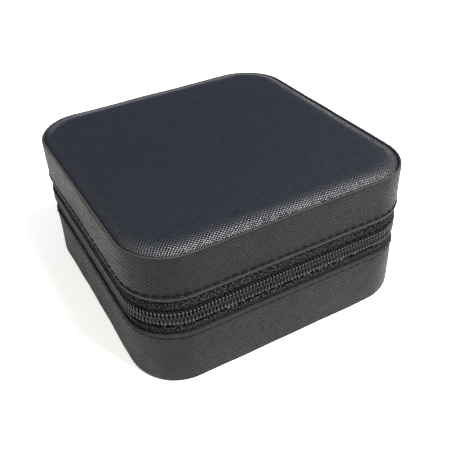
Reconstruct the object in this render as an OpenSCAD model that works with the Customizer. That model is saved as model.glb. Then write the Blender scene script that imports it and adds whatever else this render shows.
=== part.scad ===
// Zip-round leather jewellery case: a base tray and a padded lid, joined by a leather
// hinge strip at the back and closed by a coil zip that runs round the other sides.
// Millimetres. The origin is the middle of the underside, +Z is up, the front is -Y
// and the hinge is at +Y. The lid is drawn closed.

/* [Case] */
// Width of the case, left to right
case_w = 100; // [84:1:140]
// Depth of the case, front to back
case_d = 100; // [84:1:140]
// Height from the table to the crown of the lid
case_h = 51; // [48:0.5:75]
// Radius of the four upright corners
corner_r = 17; // [14:0.5:24]
// Height at which the base and the lid part
split_z = 27; // [25:0.5:36]

/* [Walls] */
// Thickness of the outer leather
skin_t = 1; // [0.8:0.1:1.4]
// Thickness of the foam sheet behind the side leather, which the zip tape takes over
side_foam_t = 0.5; // [0.4:0.1:0.8]
// Thickness of the greyboard in the side walls
wall_board_t = 1.6; // [1.2:0.1:2.4]
// Thickness of the velvet lining
lining_t = 0.8; // [0.5:0.1:1.2]
// Thickness of the boards in the floor and in the lid
panel_board_t = 2; // [1.5:0.1:3]
// Thickness of the padded velvet on the floor
floor_pad_t = 1.6; // [1:0.1:3]
// Thickness of the padded velvet under the lid
ceiling_pad_t = 1.2; // [0.8:0.1:2]
// Thickness of the foam under the top leather
top_foam_t = 2.4; // [1.5:0.1:5]
// Radius of the rolled edge of the top panel
top_edge_r = 2.2; // [1.8:0.1:2.4]
// Height of the lid's crown above the rim of its side band
crown_h = 1.5; // [1:0.1:2]

/* [Zip] */
// Bare zip between the hem of the base and the hem of the lid
zip_gap = 13; // [11:0.5:16]
// How far each zip tape runs in under its hem
tape_tail = 4; // [3:0.5:6]
// Height of each half of the zip's coil
coil_h = 2.35; // [2:0.05:2.8]
// Gap between the two halves of the coil
coil_gap = 0.5; // [0.4:0.05:0.8]
// How far each tape laps behind its half of the coil
tape_lap = 0.8; // [0.4:0.1:1.2]
// Distance from each hem to its row of stitches
stitch_inset = 2; // [1.5:0.1:3]
// Height of the stitching thread
thread_h = 0.6; // [0.4:0.1:1]
// Depth of the groove that the thread lies in
thread_d = 0.25; // [0.2:0.05:0.4]
// How far the padded inner wall stops short of the middle of the zip
wall_stop = 3.4; // [3.2:0.1:5]

/* [Slider] */
// Length of the zip slider along the zip
slider_l = 9.5; // [8:0.5:12]
// Thickness of the slider's outer wing
wing_t = 1.2; // [0.9:0.1:1.6]
// Thickness of the slider's inner wing
inner_wing_t = 0.8; // [0.6:0.1:1]
// Running clearance between the slider and the zip
slider_gap = 0.15; // [0.1:0.05:0.3]
// Distance of the parked slider behind the middle of the case
slider_y = 24; // [10:1:26]
// Diameter of the pull's pin
pull_pin_d = 1.2; // [1:0.1:1.6]
// Length of the pull, from its pin to its end
pull_l = 24; // [16:1:30]
// Width of the pull at its end
pull_w = 7; // [5:0.5:9]
// Thickness of the pull
pull_t = 1.2; // [1:0.1:1.6]

/* [Hinge] */
// Width of the leather hinge strip
hinge_w = 60; // [40:1:62]

/* [Inside] */
// Share of the inner width that the ring rolls take
ring_share = 0.43; // [0.35:0.01:0.5]
// Number of ring rolls
roll_count = 7; // [5:1:9]
// Height of the ring rolls
roll_h = 13; // [10:0.5:15]
// Gap between neighbouring rolls
roll_gap = 0.6; // [0.4:0.1:1.5]
// Thickness of the dividers
divider_t = 2.2; // [1.8:0.1:3]
// Height of the dividers above the floor lining
divider_h = 16.5; // [12:0.5:17]
// Clearance at each end of a divider that lifts out
divider_gap = 0.3; // [0.2:0.1:0.6]
// Number of necklace tabs
tab_count = 3; // [3:1:3]
// Distance between neighbouring tabs
tab_pitch = 25; // [16:1:30]
// Width of a tab
tab_w = 9; // [7:0.5:11]
// Length of a tab, from its sewn end to its tip
tab_l = 20; // [16:0.5:22]
// Thickness of the tab leather
tab_t = 1; // [0.8:0.1:1.4]
// Diameter of a press stud's cap
cap_d = 8; // [6:0.5:8.5]
// Diameter of the press stud's socket under the lid
stud_d = 6; // [5:0.5:7]
// Depth of the gathered pocket, from its mouth to the back
pocket_l = 49; // [30:1:52]
// Space inside the pocket
pocket_gap = 2; // [1.5:0.1:4]
// Thickness of the gathered pocket cloth
pocket_t = 1.2; // [0.8:0.1:1.6]

/* [Hidden] */
$fn = 96;

// Insets of each layer's outer face from the outside of the case
foam_in = skin_t;
board_in = skin_t + side_foam_t;
lining_in = board_in + wall_board_t;
room_in = lining_in + lining_t;

// Heights in the base
base_hem_z = split_z - zip_gap / 2;
floor_board_z = skin_t;
floor_lining_z = floor_board_z + panel_board_t;
floor_z = floor_lining_z + floor_pad_t;
base_rim_z = split_z - wall_stop;
base_board_top = base_rim_z - lining_t;

// Heights in the lid
lid_hem_z = split_z + zip_gap / 2;
lid_rim_z = split_z + wall_stop;
lid_board_low = lid_rim_z + lining_t;
seam_z = case_h - crown_h;
top_foam_z = case_h - skin_t - top_foam_t;
lid_board_z = top_foam_z - panel_board_t;
ceiling_z = lid_board_z - ceiling_pad_t;

// Heights in the zip
lower_coil_top = split_z - coil_gap / 2;
lower_coil_z = lower_coil_top - coil_h;
upper_coil_z = split_z + coil_gap / 2;
upper_coil_top = upper_coil_z + coil_h;
lower_tape_z = base_hem_z - tape_tail;
lower_tape_top = lower_coil_z + tape_lap;
upper_tape_z = upper_coil_top - tape_lap;
upper_tape_top = lid_hem_z + tape_tail;

// The room inside
room_w = case_w - 2 * room_in;
room_d = case_d - 2 * room_in;
rings_w = room_w * ring_share;
centre_x = -room_w / 2 + rings_w;
tray_x = centre_x + divider_t;
tray_w = room_w / 2 - tray_x;
tray_l = (room_d - 2 * divider_t) / 3;
divider_y = tray_l / 2 + divider_t / 2;
divider_lift = 0.1;
seat_gap = 0.1;

// The slider
slider_x = case_w / 2 + slider_gap;
inner_wing_in = board_in + slider_gap;
wing_h = 2 * coil_h + coil_gap + 2.2;
flange_t = 0.8;
web_t = 0.2;
web_l = 3;
bail_h = 2.2;
bail_t = 0.8;
bail_l = 4.6;
pin_x = slider_x + wing_t + pull_pin_d / 2 + 0.25;
pin_gap = 0.05;

// The tabs
tab_y = -case_d / 2 + room_in + 5;
strap_t = 0.8;
strap_l = 7;
tab_z = ceiling_z - strap_t - seat_gap - tab_t;
stud_y = tab_y + tab_l - cap_d / 2 - 0.5;
cap_t = 1.2;

// Outline of the case, drawn a distance inside its outer face
module outline(inset) {
    w = case_w - 2 * inset;
    d = case_d - 2 * inset;
    r = corner_r - inset;
    square([w - 2 * r, d], center = true);
    square([w, d - 2 * r], center = true);
    for (x = [-1, 1], y = [-1, 1])
        translate([x * (w / 2 - r), y * (d / 2 - r)])
            circle(r);
}

// Solid plate with the case's outline
module plate(inset, z0, z1) {
    translate([0, 0, z0])
        linear_extrude(z1 - z0)
            outline(inset);
}

// Wall that follows the case's outline between two insets
module wall(inset, inner, z0, z1) {
    translate([0, 0, z0])
        linear_extrude(z1 - z0)
            difference() {
                outline(inset);
                outline(inner);
            }
}

// Block at the back where the zip stops and the hinge strip takes its place
module hinge_block(z0, z1) {
    translate([-hinge_w / 2, case_d / 2 - corner_r / 2, z0])
        cube([hinge_w, corner_r, z1 - z0]);
}

// Wall of the zip, which stops at the hinge strip
module zip_wall(inset, inner, z0, z1) {
    difference() {
        wall(inset, inner, z0, z1);
        hinge_block(z0 - 1, z1 + 1);
    }
}

// Half of a rolled edge: a post with a quarter round on its outer top corner
module edge_profile(r, h) {
    square([r, h - r]);
    translate([0, h - r])
        intersection() {
            circle(r);
            square(r);
        }
}

// Plate whose top edge is rolled over all round
module rolled_plate(inset, z0, z1, r) {
    h = z1 - z0;
    corner = corner_r - inset;
    side_x = case_w / 2 - inset - corner;
    side_y = case_d / 2 - inset - corner;
    plate(inset + r, z0, z1);
    for (a = [0:90:270]) {
        run = (a % 180 == 0) ? 2 * side_y : 2 * side_x;
        out = (a % 180 == 0) ? side_x : side_y;
        translate([0, 0, z0])
            rotate(a) {
                translate([out + corner - r, run / 2, 0])
                    rotate([90, 0, 0])
                        linear_extrude(run)
                            edge_profile(r, h);
                translate([out, run / 2, 0])
                    rotate_extrude(angle = 90)
                        translate([corner - r, 0])
                            edge_profile(r, h);
            }
    }
}

// Leather round one half of the case, with a groove for its stitching thread
module side_leather(z0, z1, stitch_z) {
    difference() {
        wall(0, skin_t, z0, z1);
        wall(-1, thread_d, stitch_z - thread_h / 2, stitch_z + thread_h / 2);
    }
}

module hem_thread(stitch_z) {
    wall(0, thread_d, stitch_z - thread_h / 2, stitch_z + thread_h / 2);
}

// Base: boards, foam and leather

module base_bottom_leather() {
    color("#3b3a38")
        plate(skin_t, 0, skin_t);
}

module base_floor_board() {
    color("#9a8c78")
        plate(skin_t, floor_board_z, floor_lining_z);
}

module base_wall_board() {
    color("#9a8c78")
        wall(board_in, lining_in, floor_lining_z, base_board_top);
}

module base_side_foam() {
    color("#d9d4c8")
        wall(foam_in, board_in, floor_lining_z, lower_tape_z);
}

module base_side_leather() {
    color("#55514a")
        side_leather(0, base_hem_z, base_hem_z - stitch_inset);
}

module lower_hem_thread() {
    color("#1a1a1c")
        hem_thread(base_hem_z - stitch_inset);
}

// Zip and hinge

module lower_zip_tape() {
    color("#17171a")
        zip_wall(foam_in, board_in, lower_tape_z, lower_tape_top);
}

module lower_zip_coil() {
    color("#2c2c30")
        zip_wall(0, foam_in, lower_coil_z, lower_coil_top);
}

module upper_zip_tape() {
    color("#17171a")
        zip_wall(foam_in, board_in, upper_tape_z, upper_tape_top);
}

module upper_zip_coil() {
    color("#2c2c30")
        zip_wall(0, foam_in, upper_coil_z, upper_coil_top);
}

module hinge_strip() {
    color("#3b3a38")
        intersection() {
            wall(foam_in, board_in, lower_tape_z, upper_tape_top);
            hinge_block(lower_tape_z - 1, upper_tape_top + 1);
        }
}

// Slider: two wings round the coil, joined by a thin web that runs between its halves
module zip_slider() {
    inner_x = case_w / 2 - inner_wing_in - inner_wing_t;
    low_z = split_z - wing_h / 2;
    color("silver")
        translate([0, slider_y, 0]) {
            translate([slider_x, -slider_l / 2, low_z])
                cube([wing_t, slider_l, wing_h]);
            translate([inner_x, -slider_l / 2, low_z + 1])
                cube([inner_wing_t, slider_l, wing_h - 2]);
            translate([inner_x, -slider_l / 2, split_z - web_t / 2])
                cube([slider_x + wing_t - inner_x, web_l, web_t]);
            translate([slider_x - skin_t + 3 * slider_gap, -slider_l / 2, low_z])
                cube([skin_t, slider_l, flange_t]);
            for (z = [-1, 1])
                translate([slider_x + wing_t - 0.1, -bail_l / 2, split_z + z * 1.4 - bail_t / 2])
                    difference() {
                        cube([bail_h, bail_l, bail_t]);
                        translate([pin_x - slider_x - wing_t + 0.1, bail_l / 2, -1])
                            cylinder(d = pull_pin_d + 2 * pin_gap, h = bail_t + 2);
                    }
        }
}

// Pull: a pin in the slider's two ears, and a flat drop-shaped leaf behind it
module zip_pull() {
    pin_l = 2 * 1.4 + bail_t + 0.6;
    neck_w = 2 * (1.4 - bail_t / 2 - 0.15);
    leaf_x = slider_x + wing_t + 0.25;
    color("silver")
        translate([0, slider_y, split_z]) {
            translate([pin_x, 0, -pin_l / 2])
                cylinder(d = pull_pin_d, h = pin_l);
            translate([leaf_x, 0, -neck_w / 2])
                cube([pull_t, pull_l - pull_w / 2, neck_w]);
            translate([leaf_x, pull_l - pull_w / 2, 0])
                rotate([0, 90, 0])
                    difference() {
                        cylinder(d = pull_w, h = pull_t);
                        translate([0, 0, -1])
                            cylinder(d = pull_w - 3.6, h = pull_t + 2);
                    }
        }
}

// Base: what shows when the case is open

module base_wall_lining() {
    color("#4a4a52") {
        wall(lining_in, room_in, floor_lining_z, base_rim_z);
        wall(board_in, lining_in, base_board_top, base_rim_z);
    }
}

module base_floor_lining() {
    color("#4a4a52")
        plate(room_in, floor_lining_z, floor_z);
}

module ring_rolls() {
    pitch = room_d / roll_count;
    r = (pitch - roll_gap) / 2;
    color("#55555e")
        intersection() {
            plate(room_in + seat_gap, floor_z, floor_z + roll_h);
            for (i = [0:roll_count - 1])
                translate([-room_w / 2, (i - (roll_count - 1) / 2) * pitch, floor_z])
                    rotate([90, 0, 90])
                        linear_extrude(rings_w - seat_gap)
                            union() {
                                translate([0, roll_h - r])
                                    circle(r);
                                translate([-r, 0])
                                    square([2 * r, roll_h - r]);
                            }
        }
}

module centre_divider() {
    color("#4a4a52")
        translate([centre_x, -room_d / 2 + seat_gap, floor_z])
            cube([divider_t, room_d - 2 * seat_gap, divider_h]);
}

// Divider that lifts out of the tray, at a distance behind the middle
module loose_divider(y) {
    color("#4a4a52")
        translate([tray_x + divider_gap, y - divider_t / 2, floor_z + divider_lift])
            cube([tray_w - 2 * divider_gap, divider_t, divider_h - divider_lift]);
}

module front_divider() {
    loose_divider(-divider_y);
}

module rear_divider() {
    loose_divider(divider_y);
}

// Lid: leather, foam and boards

module lid_top_leather() {
    color("#2f343d")
        difference() {
            rolled_plate(skin_t, top_foam_z, case_h, top_edge_r);
            rolled_plate(2 * skin_t, top_foam_z - 1, case_h - skin_t, top_edge_r - skin_t);
        }
}

module lid_top_foam() {
    color("#d9d4c8")
        rolled_plate(2 * skin_t, top_foam_z, case_h - skin_t, top_edge_r - skin_t);
}

module lid_board() {
    color("#9a8c78")
        plate(skin_t, lid_board_z, top_foam_z);
}

module lid_wall_board() {
    color("#9a8c78")
        wall(board_in, lining_in, lid_board_low, lid_board_z);
}

module lid_side_foam() {
    color("#d9d4c8")
        wall(foam_in, board_in, upper_tape_top, lid_board_z);
}

module lid_side_leather() {
    color("#55514a")
        side_leather(lid_hem_z, seam_z, lid_hem_z + stitch_inset);
}

module upper_hem_thread() {
    color("#1a1a1c")
        hem_thread(lid_hem_z + stitch_inset);
}

// Lid: what shows when the case is open

module lid_wall_lining() {
    color("#4a4a52") {
        wall(lining_in, room_in, lid_rim_z, lid_board_z);
        wall(board_in, lining_in, lid_rim_z, lid_board_low);
    }
}

module lid_ceiling_lining() {
    color("#4a4a52")
        plate(room_in, ceiling_z, lid_board_z);
}

// Outline of the pocket, drawn a distance inside its seam
module pocket_outline(inset) {
    seam_in = room_in + 0.6 + inset;
    mouth_y = case_d / 2 - room_in - pocket_l;
    intersection() {
        outline(seam_in);
        translate([-case_w / 2, mouth_y])
            square([case_w, case_d]);
    }
}

// Pocket: a cloth sheet with its two sides and its back sewn to the lining
module gathered_pocket() {
    color("#5c5c66")
        difference() {
            translate([0, 0, ceiling_z - pocket_gap - pocket_t])
                linear_extrude(pocket_gap + pocket_t)
                    pocket_outline(0);
            translate([0, 0, ceiling_z - pocket_gap])
                linear_extrude(pocket_gap + 1)
                    intersection() {
                        outline(room_in + 0.6 + pocket_t);
                        translate([-case_w / 2, case_d / 2 - room_in - pocket_l - 1])
                            square([case_w, case_d]);
                    }
        }
}

module pocket_elastic() {
    elastic_w = 3;
    color("#3a3a40")
        translate([
            -room_w / 2 + 1,
            case_d / 2 - room_in - pocket_l - elastic_w,
            ceiling_z - pocket_gap - pocket_t
        ])
            cube([room_w - 2, elastic_w, pocket_t]);
}

module necklace_strap() {
    strap_w = (tab_count - 1) * tab_pitch + tab_w + 6;
    color("#3b3a38")
        translate([-strap_w / 2, tab_y - strap_l / 2, ceiling_z - strap_t])
            cube([strap_w, strap_l, strap_t]);
}

// Lower halves of the press studs, fixed to the ceiling lining
module stud_sockets() {
    color("silver")
        for (i = [-1:1])
            translate([i * tab_pitch, stud_y, tab_z + tab_t + seat_gap])
                cylinder(d = stud_d, h = ceiling_z - tab_z - tab_t - seat_gap);
}

// Leather tab, sewn at its front end and free at its tip
module tab(i) {
    color("#3b3a38")
        translate([i * tab_pitch, tab_y, tab_z])
            linear_extrude(tab_t)
                union() {
                    translate([-tab_w / 2, 0])
                        square([tab_w, tab_l - tab_w / 2]);
                    translate([0, tab_l - tab_w / 2])
                        circle(d = tab_w);
                }
}

// Cap of a press stud, on the outer face of its tab
module stud_cap(i) {
    color("silver")
        translate([i * tab_pitch, stud_y, tab_z - cap_t])
            cylinder(d = cap_d, h = cap_t);
}

module left_tab() {
    tab(-1);
}

module middle_tab() {
    tab(0);
}

module right_tab() {
    tab(1);
}

module left_stud_cap() {
    stud_cap(-1);
}

module middle_stud_cap() {
    stud_cap(0);
}

module right_stud_cap() {
    stud_cap(1);
}

base_bottom_leather();
base_floor_board();
base_wall_board();
base_side_foam();
base_side_leather();
lower_hem_thread();
lower_zip_tape();
lower_zip_coil();
hinge_strip();
base_wall_lining();
base_floor_lining();
ring_rolls();
centre_divider();
front_divider();
rear_divider();
lid_top_leather();
lid_top_foam();
lid_board();
lid_wall_board();
lid_side_foam();
lid_side_leather();
upper_hem_thread();
upper_zip_tape();
upper_zip_coil();
lid_wall_lining();
lid_ceiling_lining();
gathered_pocket();
pocket_elastic();
necklace_strap();
stud_sockets();
left_tab();
middle_tab();
right_tab();
left_stud_cap();
middle_stud_cap();
right_stud_cap();
zip_slider();
zip_pull();
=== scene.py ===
# %% [markdown]
# # A zip-round leather jewellery case
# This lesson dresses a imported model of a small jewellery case: leather over board, a coil
# zip round three sides, and a velvet inside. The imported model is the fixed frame. Every
# piece made here takes its place from it, and rides on one of its bodies, so that the lid
# still opens and the slider still runs.

# %% Load the frame
import math

import bmesh
import bpy
import numpy as np
from mathutils import Matrix, Vector, noise


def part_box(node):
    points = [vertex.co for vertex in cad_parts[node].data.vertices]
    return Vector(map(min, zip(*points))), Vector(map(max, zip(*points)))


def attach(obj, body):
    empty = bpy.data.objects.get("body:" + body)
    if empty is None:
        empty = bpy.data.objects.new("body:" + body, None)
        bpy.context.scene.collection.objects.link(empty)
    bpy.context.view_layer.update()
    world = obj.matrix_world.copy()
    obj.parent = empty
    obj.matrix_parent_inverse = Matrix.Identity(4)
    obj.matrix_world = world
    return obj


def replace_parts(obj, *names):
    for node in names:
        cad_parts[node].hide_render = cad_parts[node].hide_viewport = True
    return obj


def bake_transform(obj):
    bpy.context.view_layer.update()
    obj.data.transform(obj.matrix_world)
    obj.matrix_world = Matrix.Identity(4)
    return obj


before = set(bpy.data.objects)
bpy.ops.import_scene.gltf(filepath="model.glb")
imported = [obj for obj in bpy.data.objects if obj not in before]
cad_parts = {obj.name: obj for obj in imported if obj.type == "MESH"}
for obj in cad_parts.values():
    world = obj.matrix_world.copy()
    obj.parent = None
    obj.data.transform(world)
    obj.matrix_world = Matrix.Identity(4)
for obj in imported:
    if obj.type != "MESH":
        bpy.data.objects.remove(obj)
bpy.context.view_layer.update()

mm = 0.001

# %% [markdown]
# ## The sizes that everything follows
# The heights of the hems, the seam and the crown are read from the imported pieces. Each
# half of the zip has a name, its hem, the way up from it to the coil, and its body. The
# radius of the upright corners isn't in any box, so it is measured: it is what is left of
# a side beyond the last point that still lies flat on it.

# %% Read the driving sizes
def low(node):
    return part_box(node)[0]


def high(node):
    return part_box(node)[1]


half = high("base_side_leather").x
base_hem = high("base_side_leather").z
lid_hem = low("lid_side_leather").z
seam_z = high("lid_side_leather").z
crown_z = high("lid_top_leather").z
skin = half - high("lid_top_leather").x
part_z = (high("lower_zip_coil").z + low("upper_zip_coil").z) / 2
hinge_x = high("hinge_strip").x
halves = (("lower", base_hem, 1, "base"), ("upper", lid_hem, -1, "lid"))

points = [v.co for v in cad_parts["base_side_leather"].data.vertices]
flat = max(abs(p.y) for p in points if p.x > half - 0.001 * mm)
corner = half - flat
print(f"half width {half / mm:.1f} mm, corner radius {corner / mm:.1f} mm")

# %% [markdown]
# ## A way round the case
# Stitches, zip teeth and the leather's grain all run round the same rounded square. One
# function turns a distance along that line into a place and an outward direction, and its
# inverse gives the distance for any point near the side. The line starts at the middle of
# the back and goes to the left.

# %% Go round the case by distance
bend = corner * math.pi / 2
round_length = 8 * flat + 4 * bend
BACK, LEFT, FRONT, RIGHT = ((0, 1), (-1, 0), (0, -1), (1, 0))


def around(distance):
    """Place on the outer face and outward direction, a distance along the way round."""
    s = distance % round_length
    legs = [(BACK, 0, flat), (LEFT, -flat, flat), (FRONT, -flat, flat),
            (RIGHT, -flat, flat), (BACK, -flat, 0)]
    for i, (out, start, end) in enumerate(legs):
        out = Vector(out)
        along = Vector((-out.y, out.x))
        run = end - start
        if s <= run or i == 4:
            return out * half + along * (start + min(s, run)), out
        s -= run
        if s <= bend:
            angle = s / corner
            turned = out * math.cos(angle) + along * math.sin(angle)
            return (out + along) * flat + turned * corner, turned
        s -= bend


def from_spine(place):
    """The nearest place on the inner square that the corners turn about, and the way out."""
    near = Vector((max(-flat, min(flat, place.x)), max(-flat, min(flat, place.y)), 0))
    return near, Vector((place.x, place.y, 0)) - near


def way_along(x, y):
    """Distance along the way round of many points, and how far out of the spine they are."""
    nx, ny = np.clip(x, -flat, flat), np.clip(y, -flat, flat)
    out = np.hypot(x - nx, y - ny)
    side = 2 * flat + bend
    s = np.zeros(len(x))
    s = np.where((y >= flat) & (x <= 0), -x, s)
    s = np.where((y >= flat) & (x > 0), round_length - x, s)
    s = np.where(x <= -flat, flat + bend + flat - y, s)
    s = np.where(y <= -flat, flat + bend + side + x + flat, s)
    s = np.where(x >= flat, flat + bend + 2 * side + y + flat, s)
    for i, (ox, oy) in enumerate((BACK, LEFT, FRONT, RIGHT)):
        ax, ay = -oy, ox
        sx, sy = ox + ax, oy + ay
        ex, ey = x - sx * flat, y - sy * flat
        turn = np.arctan2(ax * ex + ay * ey, ox * ex + oy * ey)
        here = (x * sx > flat) & (y * sy > flat)
        s = np.where(here, flat + i * side + turn * corner, s)
    return s, out


print(f"way round {round_length / mm:.0f} mm")

# %% [markdown]
# ## Working by hand, in code
# Each piece starts as a primitive and is shaped with the tools of edit mode. A tool acts
# on all that is selected, so the first helper lets go of everything. A section is traced
# like a pen line: a plane is merged to one point, and the point is extruded from corner to
# corner. That section is then carried round the case with extrude along the straights and
# spin at the corners, which is how a bead or a band is turned by hand.

# %% Helpers for edit mode
def let_go():
    if bpy.context.mode != "OBJECT":
        bpy.ops.object.mode_set(mode="OBJECT")
    bpy.ops.object.select_all(action="DESELECT")


def take(piece):
    let_go()
    piece.select_set(True)
    bpy.context.view_layer.objects.active = piece
    return piece


def edit(piece):
    """Enters edit mode on a piece, with all of it selected."""
    take(piece)
    bpy.ops.object.mode_set(mode="EDIT")
    bpy.ops.mesh.select_all(action="SELECT")


def pick(piece, kind, test):
    """Selects the vertices, edges or faces of a piece in edit mode that pass a test."""
    mesh = bmesh.from_edit_mesh(piece.data)
    bpy.ops.mesh.select_mode(type=kind)
    bpy.ops.mesh.select_all(action="DESELECT")
    chosen = {"VERT": mesh.verts, "EDGE": mesh.edges, "FACE": mesh.faces}[kind]
    for element in chosen:
        if test(element):
            element.select = True
    mesh.select_flush_mode()
    bmesh.update_edit_mesh(piece.data)


def settle(piece):
    """Puts the place of a finished piece in its mesh, and its object at the origin."""
    take(piece)
    bpy.ops.object.transform_apply(location=True, rotation=True, scale=True)
    return piece


def settle_outward(piece, weld=None):
    """Welds a piece in edit mode if asked to, turns its normals outward and settles it."""
    bpy.ops.mesh.select_all(action="SELECT")
    if weld:
        bpy.ops.mesh.remove_doubles(threshold=weld)
    bpy.ops.mesh.normals_make_consistent(inside=False)
    return settle(piece)


def flip(piece):
    edit(piece)
    bpy.ops.mesh.flip_normals()
    return settle(piece)


def close_rim(piece):
    """Closes the open rim of a piece with one face, and leaves it in edit mode."""
    edit(piece)
    pick(piece, "EDGE", lambda e: e.is_boundary)
    bpy.ops.mesh.edge_face_add()


def round_edges(piece, width, segments=3):
    """Bevels the real edges of a piece in edit mode, not those of its grid."""
    pick(piece, "EDGE", lambda e: e.calc_face_angle(0) > 1)
    bpy.ops.mesh.bevel(offset=width, segments=segments, affect="EDGES")


def named(piece, name):
    piece.name = piece.data.name = name
    return piece


def smooth(piece, angle):
    take(piece)
    bpy.ops.object.shade_smooth_by_angle(angle=math.radians(angle))
    return piece


def apply(piece, kind, **settings):
    modifier = piece.modifiers.new(kind.title(), kind)
    for key, value in settings.items():
        setattr(modifier, key, value)
    take(piece)
    bpy.ops.object.modifier_apply(modifier=modifier.name)
    return piece


def smooth_out(piece, levels=1):
    return apply(piece, "SUBSURF", levels=levels, render_levels=levels)


def trace(name, line, closed=True):
    """Traces a line of points, one extrude for each, and leaves the piece in edit mode."""
    line = [Vector(p) for p in line]
    let_go()
    bpy.ops.mesh.primitive_plane_add(size=mm, location=line[0])
    piece = named(bpy.context.object, name)
    bpy.ops.object.mode_set(mode="EDIT")
    bpy.ops.mesh.select_mode(type="VERT")
    bpy.ops.mesh.select_all(action="SELECT")
    bpy.ops.mesh.merge(type="CENTER")
    for here, there in zip(line, line[1:]):
        bpy.ops.mesh.extrude_vertices_move(TRANSFORM_OT_translate={"value": there - here})
    if closed:
        pick(piece, "VERT", lambda v: len(v.link_edges) == 1)
        bpy.ops.mesh.edge_face_add()
    bpy.ops.mesh.select_all(action="SELECT")
    return piece


def pull(step, count=1):
    for _ in range(count):
        bpy.ops.mesh.extrude_region_move(TRANSFORM_OT_translate={"value": step})


def carry_round(name, section, start=0.0, straight=5 * mm, steps=12):
    """Carries a section of (outward, up) points round the case. It starts and ends a
    distance either side of the middle of the back, or closes there if that is 0."""
    line = [(-start, half + o, z) for o, z in section]
    piece = trace(name, line)
    legs = [(-1, 0, flat - start), (0, -1, 2 * flat), (1, 0, 2 * flat), (0, 1, 2 * flat),
            (-1, 0, flat - start)]
    turns = [(-flat, flat), (-flat, -flat), (flat, -flat), (flat, flat)]
    for i, (way_x, way_y, length) in enumerate(legs):
        count = max(1, round(length / straight))
        pull(Vector((way_x, way_y, 0)) * (length / count), count)
        if i < 4:
            bpy.ops.mesh.spin(steps=steps, angle=-math.pi / 2, center=(*turns[i], 0),
                              axis=(0, 0, 1))
    bpy.ops.mesh.select_all(action="SELECT")
    bpy.ops.mesh.remove_doubles(threshold=0.001 * mm)
    if start:
        for side in (-1, 1):
            pick(piece, "EDGE", lambda e: e.is_boundary and e.verts[0].co.x * side > 0)
            bpy.ops.mesh.edge_face_add()
    return settle_outward(piece)


def arc(centre, radius, first, last, count):
    """Points on a circle in a section, angles in degrees from outward towards up."""
    angles = [math.radians(first + (last - first) * i / count) for i in range(count + 1)]
    return [(centre[0] + radius * math.cos(a), centre[1] + radius * math.sin(a))
            for a in angles]


# %% [markdown]
# ## Grain that follows the leather
# The pressed grain turns the corners with the leather, so plain object coordinates would
# smear it there. Each skin gets a UV map in metres instead: one direction is the distance
# round the case, the other is the height, carried on over the rolled edges. The top panel
# is one flat sheet, so its map is the plan, stretched outwards at its rolled edge by the
# length of leather that the roll takes up.

# %% Lay the grain
def corner_values(piece):
    mesh = piece.data
    index = np.zeros(len(mesh.loops), int)
    mesh.loops.foreach_get("vertex_index", index)
    place = np.zeros(len(mesh.vertices) * 3)
    mesh.vertices.foreach_get("co", place)
    return mesh, place.reshape(-1, 3)[index]


def write_map(mesh, u, v):
    layer = mesh.uv_layers.new(name="grain")
    layer.data.foreach_set("uv", np.stack([u, v], 1).astype(np.float32).ravel())


def lay_round(piece, middle_z):
    """Grain round the sides: distance along, and height carried on over both edges."""
    mesh, place = corner_values(piece)
    s, out = way_along(place[:, 0], place[:, 1])
    v = place[:, 2] + np.where(place[:, 2] > middle_z, 1, -1) * (corner - out)
    for face in mesh.polygons:
        loops = slice(face.loop_start, face.loop_start + face.loop_total)
        if s[loops].max() - s[loops].min() > round_length / 2:
            s[loops] = np.where(s[loops] < round_length / 2, s[loops] + round_length, s[loops])
    write_map(mesh, s, v)


def lay_flat(piece, roll_from, roll_share, aside=0.0):
    """Grain on a flat panel: the plan, stretched where the edge rolls down."""
    mesh, place = corner_values(piece)
    x, y = place[:, 0], place[:, 1]
    nx, ny = np.clip(x, -flat, flat), np.clip(y, -flat, flat)
    out = np.maximum(np.hypot(x - nx, y - ny), 1e-9)
    extra = np.maximum(out - roll_from, 0) * roll_share
    extra += np.maximum(crown_z - mm - place[:, 2], 0)
    write_map(mesh, x + (x - nx) / out * extra, y + (y - ny) / out * extra - aside)


# %% [markdown]
# ## The camera
# The camera comes early, because every later choice is judged through it. It looks down
# on the near corner from the left, through a short portrait lens, tipped a little.

# %% Camera
def direction(azimuth, elevation):
    a, e = math.radians(azimuth), math.radians(elevation)
    return Vector((math.sin(a) * math.cos(e), -math.cos(a) * math.cos(e), math.sin(e)))


view_azimuth, view_elevation, view_roll = -27.92, 36.25, -2.67
view_distance, view_lens = 216.86 * mm, 49.63
aim = Vector((-3.88 * mm, -14.04 * mm, 25 * mm))

back = direction(view_azimuth, view_elevation)
right = Vector((0, 0, 1)).cross(back).normalized()
up = back.cross(right)
tilt = math.radians(view_roll)
turn_cos, turn_sin = math.cos(tilt), math.sin(tilt)
right, up = right * turn_cos + up * turn_sin, up * turn_cos - right * turn_sin
camera_data = bpy.data.cameras.new("camera")
camera_data.lens = view_lens
camera_data.clip_start, camera_data.clip_end = 1 * mm, 20
camera = bpy.data.objects.new("camera", camera_data)
camera.matrix_world = Matrix.Translation(aim + back * view_distance) @ Matrix(
    (right, up, back)).transposed().to_4x4()
bpy.context.collection.objects.link(camera)
bpy.context.scene.camera = camera
print("camera at", [round(c / mm) for c in camera.location])

# %% [markdown]
# ## Materials
# Every material is built from nodes. One helper starts it, and small helpers add the maths
# that patterns need. Bump heights are in metres, like everything else.

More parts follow.
